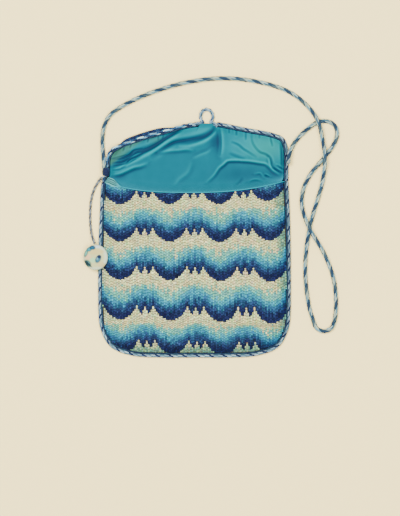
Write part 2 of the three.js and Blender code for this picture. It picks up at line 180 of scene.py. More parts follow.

# Folds of the loose silk: height, width and route. A ridge falls off steeply on the right of its route.
LOFT = 1.6
RIDGES = [
    (1.6, 1.2, [(-59, 40.7), (-53, 41.3), (-47.5, 43.6), (-42.5, 45.8), (-38, 46.8), (-33.5, 48.4)]),
    (1.8, 1.3, [(-5, 72.8), (-9.6, 70), (-14, 67), (-20, 63.2), (-25, 59.6), (-29, 57), (-34, 54.2),
                (-40, 50.8), (-47.5, 47.6), (-52, 45.6), (-58.5, 43.4)]),
    (1.6, 1.3, [(16.2, 73), (13.4, 68.8), (9.4, 65.3), (4.4, 62.8), (-3.2, 60.6), (-10, 60)]),
    (1.1, 1.1, [(-25, 56.3), (-19, 57.3), (-11.5, 57.8), (-5.5, 58.3), (-1.5, 57.8)]),
    (0.7, 1.1, [(12.4, 58.8), (8.9, 56.3), (4, 54.3), (-0.2, 52.3)]),
    (0.5, 1.4, [(-14, 33.3), (-11, 37.3), (-5, 42.3), (-2.5, 48.3)]),
    (1.9, 1, [(8.4, 35.4), (13.4, 40.3), (16.9, 45.3), (19.9, 47.8), (22.9, 50.3), (27.9, 50.8),
              (33.9, 50.6), (39.9, 50.1), (44.9, 49.3), (49.9, 48.3), (52.4, 46.3), (55.4, 43.3),
              (60.4, 40.2)]),
    (0.9, 0.8, [(37.9, 35.8), (40.9, 37.3), (44.4, 37.3), (47.9, 35.8)]),
    (0.9, 0.8, [(41.9, 41.3), (45.9, 41.8), (48.4, 38.8)]),
    (0.8, 0.7, [(49.4, 41.5), (52.9, 39.3)]),
    (0.8, 0.8, [(51.9, 52.3), (52.4, 48.8), (53.6, 45.8)]),
    (0.8, 0.7, [(56.9, 48), (61.4, 45.8)]),
    (1.1, 1.6, [(18.6, 73.6), (19.3, 67.8), (19.5, 60.3), (18.8, 53.8)]),
]
# Creases of the silk: depth, width and route.
CREASES = [
    (1.1, 1.6, [(-8, 72), (-20, 65.8), (-25, 62.5), (-32, 59), (-42, 56.2), (-48, 52.8), (-55, 48.3)]),
    (1.3, 1.4, [(13.8, 72), (6.9, 68.1), (-1.6, 65.6), (-14, 63.1), (-19, 60.6), (-24, 57.4), (-29, 54.2)]),
    (0.7, 0.6, [(17.5, 73.8), (18.3, 67.8), (18.5, 60.3), (17.8, 54.3)]),
    (1, 0.7, [(39.9, 70.4), (40.4, 63.8), (42.4, 59.8), (45.9, 56.3), (49.9, 54.8), (52.9, 52.3),
              (53.9, 49.3), (54.4, 46.8), (56.9, 44.3), (61.4, 40.8)]),
    (0.8, 0.7, [(26.4, 63.3), (30.9, 61.3), (33.9, 58.8), (37.9, 56.3), (42.9, 53.3)]),
    (0.5, 0.9, [(24.9, 55.3), (28.9, 53.8), (34.9, 51.8)]),
    (0.5, 0.9, [(28.9, 32.5), (31.9, 35.3), (33.4, 37.6)]),
    (0.9, 0.5, [(-57.5, 48.6), (-51.1, 49.6), (-46.4, 51.9), (-40.3, 56.1), (-35.6, 56.9)]),
    (0.9, 0.5, [(-56.5, 46.8), (-48, 48.4), (-44.9, 51.5), (-40.3, 53.4), (-36, 55.7)]),
    (0.8, 0.5, [(-50.8, 45.6), (-44.9, 49.2), (-41, 51.5)]),
    (0.8, 0.5, [(-57.5, 43.8), (-53, 44.1), (-48, 46.1)]),
    (0.7, 0.5, [(-57.5, 52), (-51.5, 53.2), (-47.5, 54.4)]),
    (0.8, 0.6, [(-58.5, 51.6), (-51.1, 51.9), (-44.9, 54.6), (-42.6, 57.3), (-36.8, 58.8)]),
    (0.7, 0.5, [(-49, 59.8), (-49.8, 57.3)]),
    (0.7, 0.5, [(-44, 62.6), (-45, 59.3)]),
    (0.7, 0.5, [(-32, 66.6), (-32.7, 63.3)]),
    (0.7, 0.5, [(-25.5, 68.4), (-25.2, 64.8)]),
    (0.7, 0.5, [(-21.4, 69.6), (-22.2, 66)]),
    (0.7, 0.5, [(24.1, 73), (24.3, 70)]),
    (0.8, 0.6, [(29.4, 72.2), (29.3, 68.6)]),
    (0.8, 0.6, [(35.9, 71), (35.9, 65.3)]),
    (0.8, 0.6, [(45.4, 69.5), (45.4, 66.5)]),
    (1.1, 0.6, [(52.7, 68.6), (54.4, 60.8)]),
    (1, 0.7, [(60.4, 66.3), (60.6, 60), (60.9, 54), (61.2, 46)]),
    (0.8, 0.6, [(58.2, 47), (62, 44.2)]),
    (0.8, 0.6, [(54.6, 45.4), (58.9, 43.1), (62, 41.8)]),
    (0.9, 0.6, [(49.5, 39.9), (51.8, 38.7)]),
]
RIDGE_FULL_SHADING, CREASE_FULL_SHADING = 1.8, 1.05  # height of a ridge and depth of a crease whose painted light or painted shade is full
SILK_PAINTED_PATCHES = [  # patches of painted light and shade on the silk: middle, half size, and how much lighter or darker it is there
    ((43, 61), (26, 11), 0.55), ((3, 72), (12, 4), 0.45), ((34, 41), (18, 7), -0.45),
    ((57, 39.5), (6, 4), -0.6), ((-53, 38.5), (5, 2.5), -0.5), ((14.5, 63.5), (4.5, 7), -0.85),
    ((-50, 50), (10, 4.5), -0.3), ((62.5, 56), (1.6, 11), -0.5),
]
MOUTH_LIGHT_REACH = 4.5  # painted light: how far up the silk is paler along the mouth, against the shade that the front casts into the pocket
SILK_MID, SILK_PAINTED_LIGHT, SILK_PAINTED_SHADE = (0.0005, 0.079, 0.109), (0.003, 0.185, 0.21), (0.006, 0.026, 0.054)
SILK_GREEN, SILK_MOUTH_LIGHT, SILK_PALE_GREEN = (0.024, 0.095, 0.064), (0.009, 0.15, 0.2), (0.011, 0.165, 0.135)
GREEN_SIDE = ((50, 60), (13, 10), 0.5)  # middle, half size and share of the pale green on the right
GREEN_PATCH = ((-28, 65.3), (6.5, 2.8), 0.55)  # the same of a green patch under the rolled edge
GREEN_ABOVE, GREEN_SLOPE = 89, 0.77  # the line across the left of the flap above which the silk is green
GREEN_SHARE, GREEN_EDGE = 0.9, (1.5, 5)  # how green it is there, and how softly that starts
HEM_COLOUR, LIP_COLOUR = (0.006, 0.18, 0.23), (0.08, 0.3, 0.3)
HEM_WIDTH, LIP_WIDTH, LIP_FROM, LIP_FULL, LIP_END = 0.9, 3.8, -50.5, -57.5, -62.5
LIP_GROOVES = (0.6, 0.1, -0.4)
LIP_DROOP, LIP_DROOP_X = 1.3, (-57, 3.5)  # how far the lip hangs over the front, and where
# Canvas dyes: dark hues of the wools over it, painted shade in the gaps between stitches.
CANVAS_NAVY_SHADE, CANVAS_TEAL_SHADE, CANVAS_CREAM_SHADE = (0.004, 0.006, 0.014), (0.011, 0.05, 0.08), (0.05, 0.045, 0.03)
CANVAS_FADE = (1.5, 5)  # where in the row of wools it turns from navy to teal
FLOOR_COLOUR = (0.97, 0.77, 0.32)

# Button: ground colours from the middle to the rim, and its worked spots: place, half size,
# how far it leans, colour, and how much darker its outline is.
BUTTON_MIDDLE, BUTTON_RIM = (0.4, 0.41, 0.18), (0.43, 0.51, 0.36)
BUTTON_SPOTS = [
    ((1, 3.8), (5.5, 1.9), 0.2, (0.44, 0.37, 0.14), 0),
    ((-5, 0.2), (2.4, 1.8), 0, (0.52, 0.36, 0.19), 0),
    ((-1, -2), (2.2, 1.6), 0, (0.27, 0.47, 0.23), 0),
    ((4.6, -4.9), (2.6, 1.8), 0, (0.44, 0.37, 0.16), 0),
    ((1.7, 7.4), (2, 0.9), 0, (0.4, 0.5, 0.52), 0),
    ((-6.4, 2.8), (1.4, 2.6), 0.3, (0.1, 0.32, 0.26), 0.75),
    ((-4.1, 5.6), (2, 1.5), 0, (0.03, 0.2, 0.24), 0.5),
    ((-1.7, 6.8), (2.2, 1.5), -0.3, (0.012, 0.08, 0.15), 0.6),
    ((2.8, -1.2), (2, 2.7), 0.3, (0.035, 0.13, 0.18), 0.5),
    ((3.6, 0.4), (1.4, 1.2), 0, (0.008, 0.018, 0.045), 0),
    ((2.3, -1), (0.4, 0.8), 0.3, (0.14, 0.28, 0.32), 0),
    ((-5.2, -4.3), (2.6, 2.4), -0.3, (0.07, 0.2, 0.18), 0.6),
    ((-6.3, -4.2), (0.8, 2), -0.8, (0.006, 0.022, 0.026), 0),
    ((-4.4, -4.6), (0.8, 2.4), -0.9, (0.006, 0.02, 0.03), 0),
]


def ease(value, low, high):
    """From 0 at one value to 1 at another, smoothly."""
    share = np.clip((value - low) / (high - low), 0, 1)
    return share * share * (3 - 2 * share)


def shares(count):
    return np.linspace(0, 1, count)


def full_turn(count):
    return 2 * np.pi * np.arange(count) / count


def mix(start, end, share):
    start = np.array(start)
    return start + share * (np.array(end) - start)


def bell(value, middle=0, half=1):
    return np.exp(-(((value - middle) / half) ** 2))


def signed_power(value, power):
    return np.sign(value) * np.abs(value) ** power


def size_of(vectors):
    return np.linalg.norm(vectors, axis=-1)


def unit(vectors):
    return vectors / size_of(vectors)[..., None]


def through(points, per_span, closed=False):
    """Smooth centripetal curve through points, with a number of steps on each span."""
    p = np.asarray(points, float)
    ends = (p[-1:], p[:2]) if closed else (2 * p[:1] - p[1:2], 2 * p[-1:] - p[-2:-1])
    p = np.concatenate([ends[0], p, ends[1]])
    root = np.sqrt(size_of(np.diff(p, axis=0)))[:, None]
    a, b, c, d = p[:-3], p[1:-2], p[2:-1], p[3:]
    before, here, after = root[:-2], root[1:-1], root[2:]
    leave = here * ((b - a) / before - (c - a) / (before + here) + (c - b) / here)
    arrive = here * ((c - b) / here - (d - b) / (here + after) + (d - c) / after)
    t = np.arange(per_span)[:, None] / per_span
    b, c, leave, arrive = (v[:, None] for v in (b, c, leave, arrive))
    curve = b + leave * t + (3 * (c - b) - 2 * leave - arrive) * t**2 + (2 * (b - c) + leave + arrive) * t**3
    return np.concatenate([curve.reshape(-1, p.shape[1]), p[-2:-1]])


def travelled(curve):
    return np.concatenate([[0], np.cumsum(size_of(np.diff(curve, axis=0)))])


def evenly(curve, step):
    """The same curve with its points an even step apart."""
    along = travelled(curve)
    at = np.linspace(0, along[-1], max(2, round(along[-1] / step)) + 1)
    return np.stack([np.interp(at, along, axis) for axis in curve.T], axis=1)


def grid_faces(count, rows, columns, wrap=False):
    """Faces of separate grids of points; a wrapped grid closes across."""
    here = np.arange(columns if wrap else columns - 1)
    beside = (here + 1) % columns
    row = np.arange(rows - 1)[:, None] * columns
    quads = np.stack([row + here, row + beside, row + columns + beside, row + columns + here], axis=-1)
    first = np.arange(count)[:, None, None] * rows * columns
    return (quads.reshape(1, -1, 4) + first).reshape(-1, 4)


def add_object(name, data):
    thing = bpy.data.objects.new(name, data)
    bpy.context.scene.collection.objects.link(thing)
    return thing


def dyed_object(name, points, faces, dye, material):
    """A mesh with a dye for each of its points. A single dye, or that of one face of a sheet, is repeated."""
    points = points.reshape(-1, 3)
    mesh = bpy.data.meshes.new(name)
    mesh.from_pydata((points * MM).tolist(), [], faces.tolist())
    mesh.shade_smooth()
    layer = mesh.color_attributes.new("dye", "FLOAT_COLOR", "POINT")
    opaque = np.concatenate([np.resize(dye, points.shape), np.ones((len(points), 1))], axis=1)
    layer.data.foreach_set("color", opaque.astype(np.float32).ravel())
    mesh.materials.append(material)
    return add_object(name, mesh)


def add_piece(name, points, faces, dye, material, slot, *nodes):
    """A piece of the purse, and the CAD nodes that it stands for, if any."""
    piece = dyed_object(name, points, faces, dye, material)
    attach(piece, "root")
    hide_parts(*nodes)
    return piece


def cloth(name, grain, depth, roughness, sheen, specular=0.3, mottle=0.12):
    """A dyed cloth or yarn. grain is the size of its fibres along each axis, depth how far they stand out."""
    ROUGHNESS_VARIES = 0.1
    material = bpy.data.materials.new(name)
    material.use_nodes = True
    tree = material.node_tree

    def fill(node, inputs):
        """Give each input a value, or join it to another node's output."""
        for key, value in inputs.items():
            if isinstance(value, bpy.types.NodeSocket):
                tree.links.new(value, node.inputs[key])
            else:
                node.inputs[key].default_value = value

    def add(kind, output, inputs, operation=None):
        node = tree.nodes.new("ShaderNode" + kind)
        if operation:
            node.operation = operation
        fill(node, inputs)
        return node.outputs[output]

    place = add("TexCoord", "Object", {})
    spread = add("Mapping", "Vector", {"Vector": place, "Scale": [1 / (size * MM) for size in grain]})
    fibres = add("TexNoise", "Fac", {"Vector": spread, "Scale": 1, "Detail": 3, "Roughness": 0.6})
    patches = add("TexNoise", "Fac", {"Vector": place, "Scale": 160, "Detail": 2})
    both = add("Math", "Value", {0: fibres, 1: patches}, "ADD")
    light = add("MapRange", "Result", {
        "Value": both, "From Min": 0.6, "From Max": 1.4, "To Min": 1 - mottle, "To Max": 1 + mottle,
    })
    dye = add("VertexColor", "Color", {})
    dye.node.layer_name = "dye"
    tint = add("VectorMath", "Vector", {0: dye, "Scale": light}, "SCALE")
    least, most = roughness - ROUGHNESS_VARIES, roughness + ROUGHNESS_VARIES
    rough = add("MapRange", "Result", {"Value": fibres, "To Min": least, "To Max": most})
    bump = add("Bump", "Normal", {"Height": fibres, "Strength": 1, "Distance": depth * MM})
    fill(tree.nodes["Principled BSDF"], {
        "Base Color": tint, "Roughness": rough, "Normal": bump, "Sheen Weight": sheen,
        "Sheen Roughness": 0.4, "Specular IOR Level": specular,
    })
    return material


WOOL = cloth("wool_stitches", (0.25, 1.6, 0.25), depth=0.12, roughness=0.85, sheen=0.02, specular=0.06)
CORD_YARN = cloth("cord_yarn", (0.35, 0.35, 0.35), depth=0.1, roughness=0.75, sheen=0.03, specular=0.1)
SILK_CLOTH = cloth(
    "lining_silk", (0.5, 0.18, 0.5), depth=0.03, roughness=0.55, sheen=0.01, specular=0.02, mottle=0.08
)
CANVAS_CLOTH = cloth("canvas_ground", (0.4, 0.4, 0.4), depth=0.1, roughness=0.9, sheen=0, specular=0.05)
BUTTON_CLOTH = cloth("button_cover", (0.5, 0.25, 0.5), depth=0.08, roughness=0.8, sheen=0.05, specular=0.1)

camera = add_object("camera", bpy.data.cameras.new("camera"))
camera.location = (PICTURE_MIDDLE[0] * MM, PICTURE_MIDDLE[1] * MM, CAMERA_HEIGHT * MM)
camera.data.sensor_fit = "VERTICAL"
camera.data.sensor_height = SENSOR
camera.data.lens = SENSOR * CAMERA_HEIGHT / (PICTURE[1] * PIXEL)
bpy.context.scene.camera = camera


def frames(paths):
    """Directions along paths, to their left and above them."""
    along = unit(np.gradient(paths, axis=-2))
    left = unit(np.cross(UP, along))
    return along, left, np.cross(along, left)


def tubes(paths, radius, sides):
    """Points of round tubes along paths, closed to a tip at both ends. Each can have its own radius."""
    TIP = 0.05
    _, left, above = frames(paths)
    turn = full_turn(sides)[:, None]
    ring = np.cos(turn) * left[:, :, None] + np.sin(turn) * above[:, :, None]
    taper = np.ones(paths.shape[1])
    taper[[0, -1]] = TIP
    return paths[:, :, None] + np.reshape(radius, (-1, 1, 1, 1)) * taper[:, None, None] * ring


def joined(parts):
    """Points, faces and dyes of one mesh from parts, each with the points of its tubes and their dye."""
    points, faces, dyes, start = [], [], [], 0
    for rings, dye in parts:
        points.append(rings.reshape(-1, 3))
        faces.append(start + grid_faces(*rings.shape[:3], wrap=True))
        dyes.append(np.broadcast_to(dye, rings.shape).reshape(-1, 3))
        start += len(points[-1])
    return map(np.concatenate, (points, faces, dyes))


def twisted(name, routes, diameter, turn, plies, *nodes, grooves=(), shade=0.0):
    """A cord of two plies, each of a few yarns twisted the other way, along one or more routes.

    A further yarn can lie in each of the two grooves between the plies.
    shade is how much darker the cord is on the right.
    """
    PLY_OUT, YARN_OUT, YARN, GROOVE_FACE = 0.14, 0.21, 0.165, 0.49  # shares of the diameter
    STEPS_PER_TURN, YARN_TURNS, SIDES = 16, 1.5, 6
    TONE, FEWEST_TONES = 0.12, 3  # how uneven a yarn's dye is
    parts = []
    for route in routes:
        line = evenly(np.asarray(route, float), turn / STEPS_PER_TURN)
        along, left, above = frames(line)
        angle = 2 * np.pi * travelled(line)[:, None] / turn
        strands = []
        for ply, yarn_dyes in enumerate(plies):
            spin = angle + np.pi * ply
            outward = np.cos(spin) * left + np.sin(spin) * above
            beside = np.cross(along, outward)
            for i, dye in enumerate(yarn_dyes):
                back = 2 * np.pi * i / len(yarn_dyes) - YARN_TURNS * angle
                about = np.cos(back) * outward + np.sin(back) * beside
                strands.append((PLY_OUT * outward + YARN_OUT * about, YARN, dye))
            for dye, radius in grooves[ply : ply + 1]:
                strands.append(((GROOVE_FACE - radius) * beside, radius, dye))
        away, radii, yarns = (np.array(column) for column in zip(*strands))
        rings = tubes(line + diameter * away, diameter * radii, SIDES)
        tones = max(FEWEST_TONES, len(line) // STEPS_PER_TURN)
        tone = 1 + TONE * normal((len(strands), tones))
        tone = np.array([np.interp(shares(len(line)), shares(tones), t) for t in tone])
        tone = tone * (1 - shade * ease(line[:, 0], *EDGING_SHADE_X))
        parts.append((rings, yarns[:, None, None] * tone[:, :, None, None]))
    return add_piece(name, *joined(parts), CORD_YARN, "twisted_cord", *nodes)


strap_line = through(STRAP_ROUTE, per_span=20) + (STRAP_LOOK - STRAP) / 2 * UP
strap = twisted(
    "carrying_cord", [strap_line], STRAP_LOOK, STRAP_TURN, STRAP_PLIES, "strap", grooves=STRAP_GROOVES
)
thin_line = through(BUTTON_ROUTE, per_span=12) + (BUTTON_CORD_LOOK - BUTTON_CORD) / 2 * UP
thin_cord = twisted(
    "button_string", [thin_line], BUTTON_CORD_LOOK, BUTTON_CORD_TURN, THIN_PLIES, "button_cord"
)


def button_points(rings=48, columns=96):
    """A domed button as rings of points from its back to its front, as it lies flat."""
    RIM_POWER = 2 / 2.5  # 1 would be an ellipse
    turn = np.pi * (shares(rings) - 0.5)
    radius = BUTTON_WIDTH / 2 * signed_power(np.cos(turn), RIM_POWER).clip(0)
    height = BUTTON_THICKNESS / 2 * signed_power(np.sin(turn), RIM_POWER)
    radius, height, spin = radius[:, None], height[:, None], full_turn(columns)
    return np.stack(np.broadcast_arrays(radius * np.cos(spin), radius * np.sin(spin), height), axis=-1)


def button_dye(points):
    """Cream cloth, warmer in the middle, with its worked spots outlined darker."""
    RIM = (0.68, 0.95)  # share of the way out where its ground turns to the colour of the rim
    SPOT_EDGE, STROKE, STROKE_HALF = (0.8, 1.3), 0.9, 0.35  # as shares of a spot's half size
    out = size_of(points[..., :2]) / (BUTTON_WIDTH / 2)
    dye = mix(BUTTON_MIDDLE, BUTTON_RIM, ease(out, *RIM)[..., None])
    for place, half, lean, colour, outlined in BUTTON_SPOTS:
        away = points[..., :2] - place
        away[..., 0] -= lean * away[..., 1]
        far = size_of(away / half)
        cover = (1 - ease(far, *SPOT_EDGE))[..., None]
        outline = 1 - outlined * bell(far, STROKE, STROKE_HALF)[..., None]
        dye = mix(dye, np.array(colour) * outline, cover)
    return dye


flat = button_points()
tilt = math.radians(BUTTON_TILT)
cosine, sine = math.cos(tilt), math.sin(tilt)
turned = flat @ np.array([[cosine, 0, -sine], [0, 1, 0], [sine, 0, cosine]]) + BUTTON_AT
parts = [(turned[None], button_dye(flat))]
button = add_piece("covered_button", *joined(parts), BUTTON_CLOTH, "button_cloth", "button")
np.multiply(STRAP_ROUTE[0], MM)


def other_share(share):
    """The base is a superellipse, so the share of the half width gives the share of the depth, and back."""
    return (1 - share**BASE_POWER) ** (1 / BASE_POWER)


def edge_half(x, y):
    """How far the edge lies from the middle line at a height, on the side of x."""
    end_x = np.where(x < 0, -MOUTH_LEFT[0], MOUTH_RIGHT[0])
    end_y = np.where(x < 0, MOUTH_LEFT[1], MOUTH_RIGHT[1])
    share = np.maximum(0, (y - SHOULDER_Y) / (end_y - SHOULDER_Y))
    side = mix(EDGE_HALF, end_x, share**SIDE_POWER)
    base = EDGE_HALF * other_share(np.clip((SHOULDER_Y - y) / BASE_DEPTH, 0, 1))
    return np.where(y < SHOULDER_Y, base, side)


def mouth_y(x):
    """The mouth of the pocket hangs lowest in the middle."""
    end_x, end_y, power = (np.where(x < 0, a, b) for a, b in zip(MOUTH_LEFT, MOUTH_RIGHT))
    return mix(MOUTH_MIDDLE, end_y, np.clip(x / end_x, 0, 1) ** power)


# The whole outline, counterclockwise from the left turn of the base.
TURN = 2 ** (-1 / BASE_POWER)
MID_SIDES = (-6, 15)
BASE_SHARES = (-1, -0.75, -0.4, 0, 0.4, 0.75)
TURN_SHARES = (0, 0.25, 0.5, 0.75)


def side_point(sign, y):
    return (sign * float(edge_half(sign, y)), y)


def turn_point(sign, share):
    return side_point(sign, SHOULDER_Y - BASE_DEPTH * TURN * share)


def base_point(share):
    return (EDGE_HALF * share, SHOULDER_Y - BASE_DEPTH * other_share(abs(share)))


STRETCHES = [
    [base_point(share * TURN) for share in BASE_SHARES],
    [turn_point(1, share) for share in (1, *TURN_SHARES[::-1])] + [side_point(1, y) for y in MID_SIDES],
    [MOUTH_RIGHT[:2]] + FLAP_RIGHT,
    FLAP_TOP_RIGHT,
    FLAP_PEAK,
    FLAP_TOP_LEFT,
    FLAP_LEFT,
    [MOUTH_LEFT[:2]] + [side_point(-1, y) for y in MID_SIDES[::-1]]
    + [turn_point(-1, share) for share in TURN_SHARES],
]
PER_POINT = 40
OUTLINE = through(sum(STRETCHES, []), PER_POINT, closed=True)
OUTLINE_LENGTH = travelled(OUTLINE)[-1]
OUTLINE_AT = travelled(OUTLINE) / OUTLINE_LENGTH
_, BASE_END, MOUTH_RIGHT_AT, RIGHT_CORNER, PEAK_RIGHT, PEAK_LEFT, LEFT_CORNER, MOUTH_LEFT_AT = (
    OUTLINE_AT[PER_POINT * sum(map(len, STRETCHES[:i]))] for i in range(len(STRETCHES))
)
OUTLINE_WAY = unit(np.gradient(OUTLINE, axis=0))


def inset(share, distance_at):
    """Points of the outline, moved in by a distance that depends on where they are."""
    at = np.stack([np.interp(share % 1, OUTLINE_AT, axis) for axis in OUTLINE.T], axis=-1)
    way = np.stack([np.interp(share % 1, OUTLINE_AT, axis) for axis in OUTLINE_WAY.T], axis=-1)
    inwards = np.stack([-way[..., 1], way[..., 0]], axis=-1)
    return at + inwards * distance_at(at)[..., None]


def run(start, end, distance_at):
    return lambda share: inset(mix(start, end, share), distance_at)


def on_flap(at, amount):
    return np.where(at[..., 1] > MOUTH_RIGHT[1], amount, 0)


def roll_at(at):
    """How far the left of the flap has rolled over: 1 where it is full."""
    return on_flap(at, ease(at[..., 0], *ROLL_FROM) * (1 - ease(at[..., 0], *ROLL_TO)))


def rise_at(at):
    return on_flap(at, ease(at[..., 0], *CORD_RISE) * (1 - ease(at[..., 0], *CORD_FALL)))


def tab_at(at):
    return on_flap(at, TAB_REACH * (1 - ease(np.abs(at[..., 0] - LOOP_X), TAB_FULL, TAB_END)))


def even(distance):
    return lambda at: np.full(at.shape[:-1], float(distance))


def pocket_edges(distance, past_mouth):
    """Left, right, bottom and top edge of the pocket, moved in by a distance. The top is the mouth."""
    RISE_FROM = 0.5  # share of the way up a side
    left, right = run(1, MOUTH_LEFT_AT, even(distance)), run(BASE_END, MOUTH_RIGHT_AT, even(distance))
    ends = left(1.0)[0], right(1.0)[0]

    def to_mouth(side):
        end = side(1.0)
        rise = mouth_y(end[0]) + past_mouth - end[1]
        return lambda at: side(at) + np.stack([0 * at, rise * ease(at, RISE_FROM, 1)], axis=-1)

    def top(share):
        x = mix(*ends, share)
        return np.stack([x, mouth_y(x) + past_mouth], axis=-1)

    return to_mouth(left), to_mouth(right), run(0, BASE_END, even(distance)), top


def whole_edges(distance_at):
    """Left, right, bottom and top edge of the back and the flap in one."""
    return (
        run(1, LEFT_CORNER, distance_at), run(BASE_END, RIGHT_CORNER, distance_at),
        run(0, BASE_END, distance_at), run(LEFT_CORNER, RIGHT_CORNER, distance_at),
    )


def patch(edges, across, up):
    """Plan points of the patch between four edges, rows up by columns across."""
    left, right, bottom, top = edges
    a, u = across[None, :, None], up[:, None, None]
    sides = mix(left(up)[:, None], right(up)[:, None], a)
    base, head = bottom(across), top(across)
    corners = mix(mix(base[0], base[-1], a), mix(head[0], head[-1], a), u)
    return sides + mix(base[None], head[None], u) - corners


def closed_sheet(plan, low, high):
    """Points and faces of a sheet between two heights over a grid of plan points."""
    rows, columns = plan.shape[:2]
    count = rows * columns
    points = np.stack([np.dstack([plan, high]), np.dstack([plan, low])])
    top = grid_faces(1, rows, columns)
    index = np.arange(count).reshape(rows, columns)
    border = np.concatenate([index[0, :-1], index[:-1, -1], index[-1, :0:-1], index[:0:-1, 0]])
    after = np.roll(border, -1)
    rim = np.stack([border, border + count, after + count, after], axis=1)
    return points, np.concatenate([top, top[:, ::-1] + count, rim])


def outward(x, y):
    """How far out a place on the pocket lies: 1 at the seam."""
    across = np.abs(x) / (edge_half(x, np.maximum(y, SHOULDER_Y)) - SEAM)
    down = np.maximum(0, SHOULDER_Y - y) / (BASE_DEPTH - SEAM)
    return np.minimum(1, (across**BASE_POWER + down**BASE_POWER) ** (1 / BASE_POWER))


def front_under(x, y):
    """How high the underside of the front stands, rising from its seam as a pillow does."""
    return CANVAS + GAP + FULLNESS * (1 - outward(x, y) ** PILLOW)


def heights_of_columns(border, columns):
    """Lowest and highest point of a closed border at each x."""
    a, b = border, np.roll(border, -1, axis=0)
    found = []
    for x in columns:
        crossed = (a[:, 0] - x) * (b[:, 0] - x) <= 0
        span = np.where(b[:, 0] == a[:, 0], 1, b[:, 0] - a[:, 0])
        y = mix(a[:, 1], b[:, 1], (x - a[:, 0]) / span)[crossed]
        found.append((y.min(), y.max()) if len(y) else (0, 0))
    return np.array(found).T


def chart_at(column):
    return np.interp(column % len(CHART), np.arange(len(CHART) + 1), np.append(CHART, CHART[0]))


def fan(x, y, out=True):
    """Place across of a column at a height, or back to its place where the chart is true."""
    wide, draw = 1 + FAN * (FAN_Y - y), BASE_DRAW * ease(y, *BASE_Y)
    if out:
        return mix(mix(FAN_X, x, wide), BASE_DRAW_X, draw)
    x = (x - draw * BASE_DRAW_X) / (1 - draw)
    return FAN_X + (x - FAN_X) / wide


def row_rise(x, y):
    rise = RIGHT_RISE * ease(x, *RISE_X) * ease(y, *RISE_Y) + BASE_RISE * ease(y, *BASE_Y)
    return rise - (SAG + SAG_MORE * ease(x, *SAG_X)) * bell(y, SAG_Y, SAG_HALF)


def chart_y(x, step):
    """Height on the purse of a step of the chart."""
    repeats = -step / STEPS_PER_REPEAT
    y = FIRST_VALLEY_Y - (REPEAT + REPEAT_SLOPE * x) * repeats - REPEAT_GROWTH * repeats**2
    return y + row_rise(x, y)


def chart_step(x, y):
    """Step of the chart at a height on the purse."""
    repeat = REPEAT + REPEAT_SLOPE * x
    y = y - row_rise(x, y)
    root = np.sqrt(repeat**2 + 4 * REPEAT_GROWTH * (FIRST_VALLEY_Y - y))
    return -STEPS_PER_REPEAT * (root - repeat) / (2 * REPEAT_GROWTH)


def faded_at(column, step):
    """Place in the row of wools. The foot of a band of blues follows the chart, and it fades along a wave."""
    rise = chart_at(column)
    above_valley = step - STEPS_PER_REPEAT * np.floor((step - rise) / STEPS_PER_REPEAT)
    wave = (1 - np.cos(2 * np.pi * (column + 0.5) / len(CHART))) / 2
    start = mix(mix(*BLUE_FROM, wave), rise, FLAME_SHARE)
    end = mix(*BLUE_TO, wave)
    share = (above_valley - start) / (end - start)
    at_peak = signed_power(share, FADE_POWER)
    at_valley = mix(share, ease(share, *VALLEY_FADE), VALLEY_SHARE)
    return BLUES * mix(at_valley, at_peak, wave)


def flame_stitches(border):
    """Place across, lower end, upper end and wool of each stitch in a border, before the columns fan out."""
    SHORTEST = 0.35
    REPEATS_BELOW, REPEATS_ABOVE = 5, 3
    UNEVEN, STREAKY, MIXED = 0.1, 0.3, 0.38
    MIXED_FROM, MIXED_FULL = -2, 2.5  # in the row of wools: the darkest are mixed less
    PALE_FROM, PALE_CALM = BLUES - 2.5, 0.45  # and so are the palest blues
    NEAR_BASE, NEAR_SIDE, GREEN_CHANCE = 4, 6.5, 2  # where the cream turns to green
    border = np.stack([fan(border[:, 0], border[:, 1], out=False), border[:, 1]], axis=1)
    first, last = (round((edge - VALLEY_X) / COLUMN) for edge in (border[:, 0].min(), border[:, 0].max()))
    column = np.arange(first, last)[:, None]
    x = VALLEY_X + (column + 0.5) * COLUMN
    lowest, highest = (ends[:, None] for ends in heights_of_columns(border, x[:, 0]))
    row = np.arange(-REPEATS_BELOW * ROWS_PER_REPEAT, REPEATS_ABOVE * ROWS_PER_REPEAT + 1)
    brick = np.where(row % ROWS_PER_REPEAT, 0.5 * (column % 2), 0)
    row = row + brick + UNEVEN * normal(brick.shape)
    step = STEPS_PER_REPEAT / ROWS_PER_REPEAT * row + chart_at(column)
    ends = np.clip(chart_y(x, step), lowest, highest)
    middle = (step[:, :-1] + step[:, 1:]) / 2
    faded = faded_at(column, middle)
    streak = normal((len(column), REPEATS_BELOW + REPEATS_ABOVE))
    streak = np.repeat(streak, ROWS_PER_REPEAT, axis=1)
    loose = STREAKY * streak + MIXED * normal(middle.shape)
    loose = loose * ease(faded, MIXED_FROM, MIXED_FULL)
    loose = loose * (1 - PALE_CALM * ease(faded, PALE_FROM, BLUES))
    wool = np.clip(faded + loose, 0, BLUES).astype(int)
    near_edge = np.maximum(1 - (ends[:, :-1] - lowest) / NEAR_BASE, 1 - (x.max() - x) / NEAR_SIDE)
    is_green = chance.random(middle.shape) < GREEN_CHANCE * near_edge
    green = CREAMS + chance.integers(0, GREENS, middle.shape)
    cream = chance.integers(0, CREAMS, middle.shape)
    wool = np.where(wool < BLUES, wool, BLUES + np.where(is_green, green, cream))
    kept = ends[:, 1:] - ends[:, :-1] > SHORTEST
    return np.broadcast_to(x, kept.shape)[kept], ends[:, :-1][kept], ends[:, 1:][kept], wool[kept]


